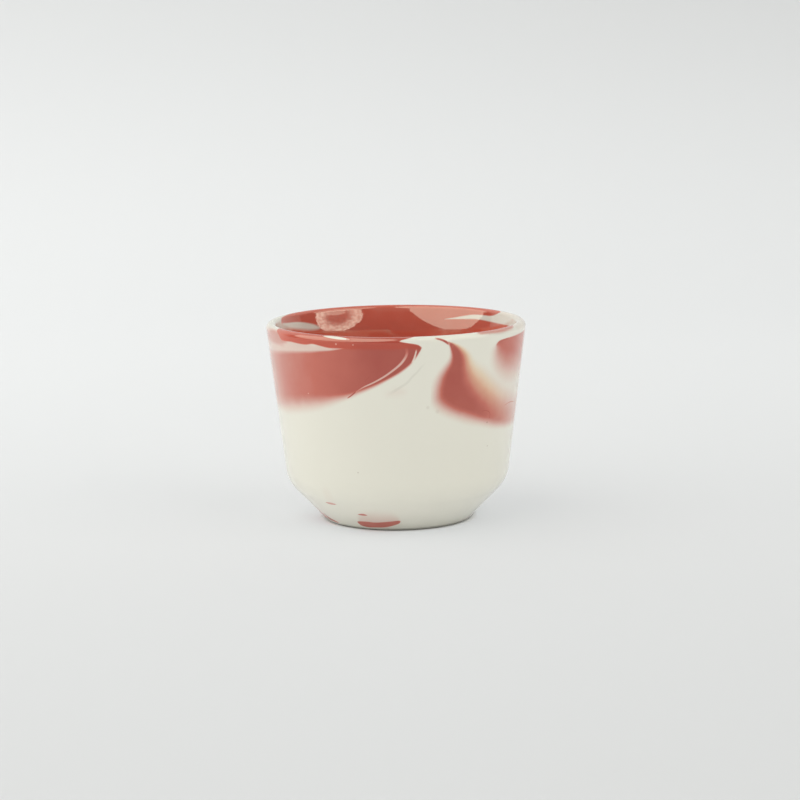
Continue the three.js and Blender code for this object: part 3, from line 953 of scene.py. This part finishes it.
def slip_amount(nodes):
    """Amount of red slip: the marks with rippled borders, less the cream lines, with red lines and stains."""
    ripple = nodes.math("MULTIPLY_ADD", nodes.noise(*ripple_noise), ripple_size, -ripple_size / 2)
    level = nodes.math("ADD", nodes.value("slip_level"), ripple)
    amount = nodes.math("MULTIPLY", nodes.smooth(level, -1.0, 1.0), nodes.value("slip_density"))
    amount = nodes.math("MULTIPLY", amount, nodes.math("SUBTRACT", 1.0, line_mask(nodes, "cream")))
    added = nodes.math("MAXIMUM", line_mask(nodes, "red"), nodes.value("slip_stain"))
    amount = nodes.math("MAXIMUM", amount, added)
    mottle = nodes.math("MULTIPLY_ADD", nodes.noise(*mottle_noise), mottle_size, 1 - mottle_size / 2)
    return nodes.math("MULTIPLY", amount, mottle)


def marbled_colour(nodes):
    """Colour of the clay by the amount and hue of the slip, with the painted shade of a crease, dark specks
    and painted glints of pinholes.
    """
    amount = slip_amount(nodes)
    rosy = nodes.ramp(amount, rosy_ramp)
    colour = nodes.mix(nodes.value("slip_peach"), rosy, nodes.ramp(amount, peach_ramp))
    colour = nodes.mix(nodes.value("slip_warmth"), colour, nodes.ramp(amount, warm_ramp))
    # Painted shade along the crease
    colour = nodes.mix(line_mask(nodes, "grey"), colour, crease_shade_colour)
    colour = nodes.mix(speck_mask(nodes, dark_specks), colour, dark_speck_colour)
    # Painted highlights: the glints of pinholes
    return nodes.mix(speck_mask(nodes, pinhole_glints), colour, pinhole_glint_colour)


def glaze(slot):
    """Marbled clay under a clear glaze that is slightly uneven, and bare where it is wiped off the foot, with
    painted contact shade there.
    """
    material = bpy.data.materials.new(f"{slot}_glazed")
    nodes = Nodes(material)
    bare_and_shade = nodes.value("bare_clay")
    # Painted shade: the bare edge of the foot is coloured nearly black for the contact line
    colour = nodes.mix(bare_and_shade, marbled_colour(nodes), bare_clay_shade_colour)
    gloss = nodes.math("MULTIPLY_ADD", nodes.noise(*gloss_noise), roughness_spread, least_roughness)
    ior = warm_ior
    if slot != lining_slot:
        ior = nodes.math("MULTIPLY_ADD", nodes.value("slip_gloss"), warm_ior - clear_ior, clear_ior)
    relief = {"Strength": 1.0, "Distance": bump_height * MM, "Height": nodes.noise(*bump_noise)}
    nodes.fill(nodes.named("Principled BSDF"), {
        "Base Color": colour,
        "Roughness": nodes.math("MULTIPLY_ADD", bare_and_shade, bare_roughness, gloss),
        "IOR": ior,
        "Specular Tint": glaze_tint,
        "Normal": nodes.fill(nodes.add("Bump"), relief)["Normal"],
    })
    return material


# Studio, with its lengths in metres

floor_colour = (0.95, 0.96, 0.99, 1)
floor_roughness = 0.9
floor_specular = 0.1
backdrop_colour = (0.972, 0.998, 1.0, 1)
backdrop_share = 0.72

# The floor is only lit up to this distance from the middle of the foot, in millimetres
contact_radius = 20.2
contact_fade = 2.0

# Tone of the backdrop, with painted shading as the light falls off: darkest and brightest from front to back,
# and its fall to the right and upwards
tone_front = 0.53
tone_back = 0.755
tone_front_place = -0.45
tone_back_place = 0.35
tone_side = 0.07
tone_side_place = 0.4
tone_fall = 0.16
tone_fall_place = 0.2

# Sweep: where it starts to curve up, its round in steps of degrees, and its reach
sweep_start = 0.45
sweep_round = 0.6
sweep_turn = 5
sweep_top = 2.4
sweep_half_width = 2.6
sweep_front = -3.0

# Lamps, in degrees as seen from the cup, with half angles across and up
lamp_colour = (1.0, 0.98, 0.9)
lamp_distance = 1.6
key_lamp = {"azimuth": -64, "elevation": 45.5, "spread": (40, 40), "radiance": 1.78}
umbrella_lamp = {"azimuth": 63.5, "elevation": 23, "spread": (26, 18), "radiance": 2.6, "tilt": -12}
fill_lamp = {"azimuth": 72, "elevation": 50, "spread": (26, 26), "radiance": 1.2}
ceiling_lamp = {"azimuth": 0, "elevation": 90, "spread": (60, 60), "radiance": 0.15}
world_colour = (1, 1, 1, 1)
world_strength = 0.16

# Cloth of the umbrella: noise as scale and detail, ways out from its middle in lamp widths, and brightness
umbrella_middle = (0.5, 0.5, 0)
pleat_noise = (7, 3)
pleat_size = 0.1
cloth_noise = (17, 4)
rim_way = (0.2, 0.42)
middle_brightness = 0.12
edge_way = (0.525, 0.55)
crinkle_range = (0.36, 0.64)
crinkle_brightness = (0.6, 1.3)

# Camera: lens, sensor and place in millimetres, and angles in degrees
camera_lens = 102.09
camera_sensor = 36.0
camera_place = (0, -607.24, 133.3)
camera_pitch = 9.495
camera_yaw = 0.082
camera_roll = -0.682


def paper():
    """Pale paper. Part of what the camera and reflections see is its emitted tone, with painted shading
    across it, and the rest is lit.
    """
    material = bpy.data.materials.new("sweep_paper")
    nodes = Nodes(material)
    lit = nodes.fill(nodes.named("Principled BSDF"), {
        "Base Color": floor_colour, "Roughness": floor_roughness, "Specular IOR Level": floor_specular,
    })
    rays = nodes.add("LightPath")
    seen = nodes.math("MAXIMUM", rays.outputs["Is Camera Ray"], rays.outputs["Is Glossy Ray"])
    seen = nodes.math("MAXIMUM", seen, rays.outputs["Is Transmission Ray"])
    # The floor under the foot is only lit, so that it is dark where the foot stands
    away = nodes.vector("LENGTH", "Value", nodes.place())
    contact_end = contact_radius + contact_fade
    clear = nodes.smooth(away, contact_radius * MM, contact_end * MM, 0.0, backdrop_share)
    place = nodes.fill(nodes.add("SeparateXYZ"), {0: nodes.place()})
    # Painted shading: the emitted tone is darker towards the front, to the right and upwards
    strength = nodes.smooth(place["Y"], tone_front_place, tone_back_place, tone_front, tone_back)
    sideways = nodes.smooth(place["X"], -tone_side_place, tone_side_place, tone_side, -tone_side)
    upwards = nodes.smooth(place["Z"], 0.0, tone_fall_place, 0.0, -tone_fall)
    strength = nodes.math("ADD", strength, nodes.math("ADD", sideways, upwards))
    tone = nodes.fill(nodes.add("Emission"), {"Color": backdrop_colour, "Strength": strength})
    share = nodes.math("MULTIPLY", seen, clear)
    mixed = nodes.fill(nodes.add("MixShader"), {"Fac": share, 1: lit["BSDF"], 2: tone["Emission"]})
    nodes.put(mixed["Shader"], nodes.named("Material Output").inputs["Surface"])
    return material


def add_sweep():
    """Floor that curves up into a backdrop behind the cup."""
    section = [(sweep_front, 0.0), (sweep_start, 0.0)]
    for turn in np.radians(np.arange(sweep_turn, 90 + sweep_turn, sweep_turn)):
        section.append((sweep_start + sweep_round * math.sin(turn), sweep_round * (1 - math.cos(turn))))
    section.append((sweep_start + sweep_round, sweep_top))
    points = [(side * sweep_half_width, y, z) for y, z in section for side in (-1, 1)]
    faces = [(2 * row, 2 * row + 1, 2 * row + 3, 2 * row + 2) for row in range(len(section) - 1)]
    mesh = bpy.data.meshes.new("sweep")
    mesh.from_pydata(points, [], faces, shade_flat=False)
    mesh.materials.append(paper())
    sweep = add_object("sweep", mesh)


def add_light(name, azimuth, elevation, spread, radiance, tilt=0):
    """Round or oval lamp that faces the cup, at an azimuth from the front, positive to the right."""
    turn = math.radians(azimuth)
    lift = math.radians(elevation)
    towards = Vector((math.sin(turn) * math.cos(lift), -math.cos(turn) * math.cos(lift), math.sin(lift)))
    across, up = (lamp_distance * math.tan(math.radians(angle)) for angle in spread)
    lamp = bpy.data.lights.new(name, "AREA")
    lamp.shape = "ELLIPSE"
    lamp.size = 2 * across
    lamp.size_y = 2 * up
    lamp.energy = radiance * math.pi * math.pi * across * up
    lamp.color = lamp_colour
    light = add_object(name, lamp)
    light.location = towards * lamp_distance + Vector((0, 0, cup_height / 2 * MM))
    light.rotation_euler = towards.to_track_quat("Z", "Y").to_euler()
    light.rotation_euler.rotate_axis("Z", math.radians(tilt))
    light.visible_camera = False
    return lamp


def add_umbrella_pattern(lamp):
    """Crinkled cloth of a studio umbrella: a dim middle and a bright pleated rim with a ragged edge."""
    nodes = Nodes(lamp)
    place = nodes.add("NewGeometry").outputs["Parametric"]
    distance = nodes.vector("DISTANCE", "Value", place, umbrella_middle)
    outward = nodes.vector("SUBTRACT", "Vector", place, umbrella_middle)
    pleats = nodes.noise(*pleat_noise, nodes.vector("NORMALIZE", "Vector", outward))
    way_out = nodes.math("MULTIPLY_ADD", pleats, pleat_size, distance)
    rim = nodes.smooth(way_out, *rim_way, middle_brightness, 1.0)
    edge = nodes.smooth(way_out, *edge_way, 1.0, 0.0)
    crinkle = nodes.smooth(nodes.noise(*cloth_noise, place), *crinkle_range, *crinkle_brightness)
    strength = nodes.math("MULTIPLY", nodes.math("MULTIPLY", rim, edge), crinkle)
    nodes.put(strength, nodes.named("Emission").inputs["Strength"])


def add_camera():
    """Camera fitted to the photograph's view."""
    data = bpy.data.cameras.new("camera")
    data.sensor_fit = "HORIZONTAL"
    data.sensor_width = camera_sensor
    data.lens = camera_lens
    camera = add_object("camera", data)
    pitch, yaw, roll = (math.radians(angle) for angle in (camera_pitch, camera_yaw, camera_roll))
    forward = Vector((math.sin(yaw) * math.cos(pitch), math.cos(yaw) * math.cos(pitch), -math.sin(pitch)))
    right = Vector((math.cos(yaw), -math.sin(yaw), 0))
    up = right.cross(forward)
    side = math.cos(roll) * right + math.sin(roll) * up
    top = math.cos(roll) * up - math.sin(roll) * right
    turn = Matrix((side, top, -forward)).transposed()
    place = Matrix.Translation([length * MM for length in camera_place])
    camera.matrix_world = place @ turn.to_4x4()
    bpy.context.scene.camera = camera


def add_world():
    """Faint even light from all around."""
    world = bpy.data.worlds.new("studio")
    nodes = Nodes(world)
    nodes.fill(nodes.named("Background"), {"Color": world_colour, "Strength": world_strength})
    bpy.context.scene.world = world


# The cup in its studio

slots = {part["node"]: part["material_slot"] for part in frame["record"]["subparts"]}
finishes = {slot: glaze(slot) for slot in sorted(set(slots.values()))}
for node, piece in build_pieces().items():
    piece.data.materials.append(finishes[slots[node]])
    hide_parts(node)
    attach(piece, "root")

add_sweep()
add_light("key", **key_lamp)
add_umbrella_pattern(add_light("umbrella", **umbrella_lamp))
add_light("fill", **fill_lamp)
add_light("ceiling", **ceiling_lamp)
add_world()
add_camera()
bpy.context.scene.view_settings.view_transform = "Standard"
